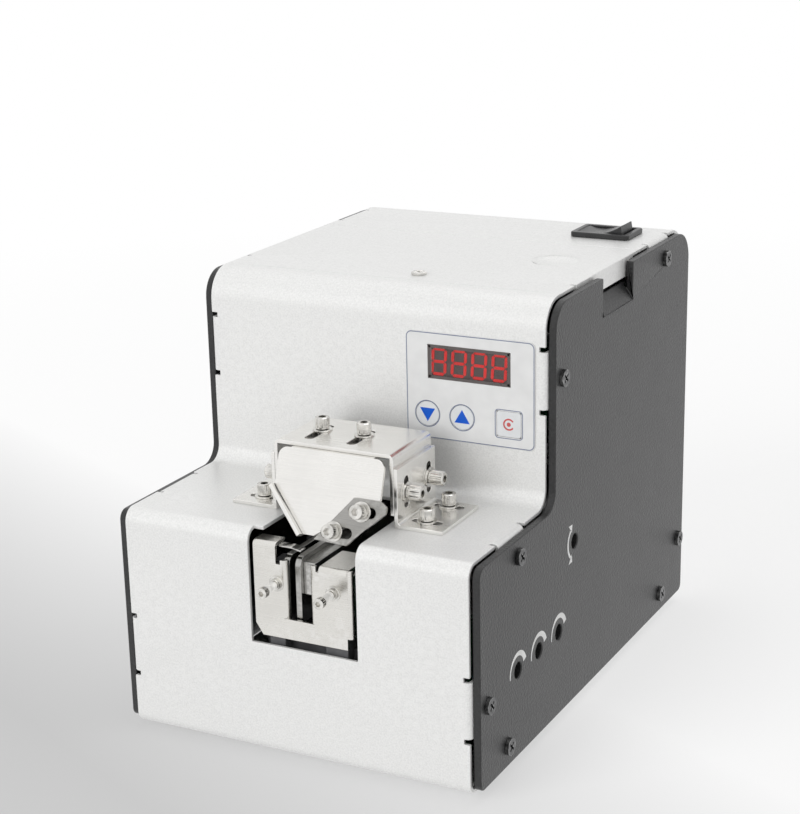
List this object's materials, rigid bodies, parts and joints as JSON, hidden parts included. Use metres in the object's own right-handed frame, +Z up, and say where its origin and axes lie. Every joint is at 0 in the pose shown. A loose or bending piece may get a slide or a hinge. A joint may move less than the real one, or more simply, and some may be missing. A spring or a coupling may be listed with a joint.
{
  "type": "automatic screw feeder",
  "caption": "Stepped sheet-metal screw feeder with lidded chamber, slotted pick-up rails under an adjustable hood, display, buttons and rocker switch.",
  "frame": {"origin": "centre of the footprint on the plane the rubber feet stand on", "axes": "+X right, +Y from the pick-up slot to the back, +Z up"},
  "size_m": [0.1256, 0.1866, 0.1438],
  "materials": {
    "shell_steel": "fine metallic silver paint",
    "side_black": "textured black powder coat",
    "stainless": "lightly brushed stainless sheet",
    "guide_steel": "satin steel",
    "screw_steel": "bright plated steel",
    "black_screw": "blackened steel",
    "feet_rubber": "matt rubber",
    "overlay_film": "satin printed film",
    "window_film": "smoked window",
    "led_red": "lit red segments",
    "board_green": "circuit board",
    "switch_black": "fine grained plastic",
    "rail_steel": "ground steel",
    "dark_steel": "blackened steel",
    "inner_aluminium": "plain aluminium",
    "inner_grey": "plain grey",
    "brush_bristle": "packed bristles",
    "brass": "plain brass",
    "trimmer_blue": "moulded plastic",
    "belt_rubber": "matt rubber",
    "magnet_black": "plain moulded case"
  },
  "bodies": {
    "cabinet": {"front_shell": "shell_steel", "rear_shell": "shell_steel", "base_plate": "shell_steel", "left_side_plate": "side_black", "right_side_plate": "side_black", "side_plate_screws": "black_screw", "rubber_feet": "feet_rubber", "lid_pivot_pins": "screw_steel", "bracket_foot_screws": "screw_steel", "front_plate": "stainless", "front_plate_screws": "screw_steel", "rail_base": "inner_aluminium", "rubber_mounts": "feet_rubber", "left_rail": "rail_steel", "rail_clamp_screws": "screw_steel", "retaining_leaf": "stainless", "vibrator_motor": "inner_aluminium", "display_overlay": "overlay_film", "display_window": "window_film", "display_digits": "led_red", "display_board": "board_green", "switch_body": "switch_black", "dc_inlet": "switch_black", "main_board": "board_green", "trimmer_bodies": "trimmer_blue", "lock_gate_block": "inner_aluminium", "screw_chamber": "inner_grey", "drop_chute": "stainless", "gear_motor": "inner_aluminium", "motor_bracket": "shell_steel", "drive_belt": "belt_rubber", "screw_sensors": "switch_black"},
    "lid": {"lid": "shell_steel", "lid_screw": "screw_steel", "lid_magnet": "magnet_black"},
    "hood_brackets": {"left_bracket": "stainless", "right_bracket": "stainless"},
    "hood": {"hood": "stainless", "hood_side_screws": "screw_steel"},
    "shield": {"shield_plate": "stainless", "shield_top_screws": "screw_steel", "guide_screws": "screw_steel"},
    "guide": {"guide_plate": "guide_steel"},
    "adjusting_rail": {"right_rail": "rail_steel", "rail_bar": "dark_steel"},
    "down_button": {"down_button": "overlay_film"},
    "up_button": {"up_button": "overlay_film"},
    "set_button": {"set_button": "overlay_film"},
    "switch_rocker": {"switch_rocker": "switch_black"},
    "speed_trimmer": {"trimmer_1": "switch_black"},
    "vibration_trimmer": {"trimmer_2": "switch_black"},
    "roller_trimmer": {"trimmer_3": "switch_black"},
    "lock_gate": {"lock_gate_shaft": "dark_steel"},
    "drum": {"lifting_drum": "inner_aluminium", "drum_pulley": "switch_black"},
    "brush": {"brush_shaft": "rail_steel", "roller_brush": "brush_bristle"},
    "eccentric": {"eccentric_weight": "brass"}
  },
  "joints": [
    {"name": "lid_hinge", "type": "hinge", "parent": "cabinet", "child": "lid", "pos_m": [0, 0.0392, 0.1366], "axis": [-1, 0, 0], "range_deg": [0, 100]},
    {"name": "bracket_slide", "type": "slide", "parent": "cabinet", "child": "hood_brackets", "axis": [1, 0, 0], "range_m": [-0.0015, 0.0015]},
    {"name": "hood_height", "type": "slide", "parent": "hood_brackets", "child": "hood", "axis": [0, 0, 1], "range_m": [-0.0005, 0.003]},
    {"name": "shield_slide", "type": "slide", "parent": "hood", "child": "shield", "axis": [0, 1, 0], "range_m": [-0.006, 0.004]},
    {"name": "guide_slide", "type": "slide", "parent": "shield", "child": "guide", "axis": [1, 0, 0], "range_m": [-0.003, 0.0005]},
    {"name": "rail_gap_slide", "type": "slide", "parent": "cabinet", "child": "adjusting_rail", "axis": [1, 0, 0], "range_m": [-0.0008, 0.0012]},
    {"name": "down_button_press", "type": "slide", "parent": "cabinet", "child": "down_button", "axis": [0, 1, 0], "range_m": [0, 0.0004], "stiffness_N_per_m": 800, "springref_m": -0.0001},
    {"name": "up_button_press", "type": "slide", "parent": "cabinet", "child": "up_button", "axis": [0, 1, 0], "range_m": [0, 0.0004], "stiffness_N_per_m": 800, "springref_m": -0.0001},
    {"name": "set_button_press", "type": "slide", "parent": "cabinet", "child": "set_button", "axis": [0, 1, 0], "range_m": [0, 0.0004], "stiffness_N_per_m": 800, "springref_m": -0.0001},
    {"name": "switch_rock", "type": "hinge", "parent": "cabinet", "child": "switch_rocker", "pos_m": [0.0404, 0.0655, 0.1389], "axis": [0, 1, 0], "range_deg": [0, 20]},
    {"name": "speed_trimmer_turn", "type": "hinge", "parent": "cabinet", "child": "speed_trimmer", "pos_m": [0.055, -0.0573, 0.0325], "axis": [1, 0, 0], "range_deg": [-135, 135]},
    {"name": "vibration_trimmer_turn", "type": "hinge", "parent": "cabinet", "child": "vibration_trimmer", "pos_m": [0.055, -0.0416, 0.0325], "axis": [1, 0, 0], "range_deg": [-135, 135]},
    {"name": "roller_trimmer_turn", "type": "hinge", "parent": "cabinet", "child": "roller_trimmer", "pos_m": [0.055, -0.0259, 0.0325], "axis": [1, 0, 0], "range_deg": [-135, 135]},
    {"name": "lock_gate_turn", "type": "hinge", "parent": "cabinet", "child": "lock_gate", "pos_m": [0.03, -0.0133, 0.0586], "axis": [-1, 0, 0], "range_deg": [0, 90]},
    {"name": "drum_turn", "type": "hinge", "parent": "cabinet", "child": "drum", "pos_m": [0.03, 0.01405, 0.0602], "axis": [1, 0, 0], "continuous": true},
    {"name": "brush_turn", "type": "hinge", "parent": "cabinet", "child": "brush", "pos_m": [0.01, -0.00795, 0.0767], "axis": [1, 0, 0], "continuous": true},
    {"name": "eccentric_turn", "type": "hinge", "parent": "cabinet", "child": "eccentric", "pos_m": [0.00345, -0.0266, 0.0282], "axis": [0, 1, 0], "continuous": true}
  ],
  "couplings": [
    {"joint": "brush_turn", "follows": "drum_turn", "ratio": 1}
  ]
}
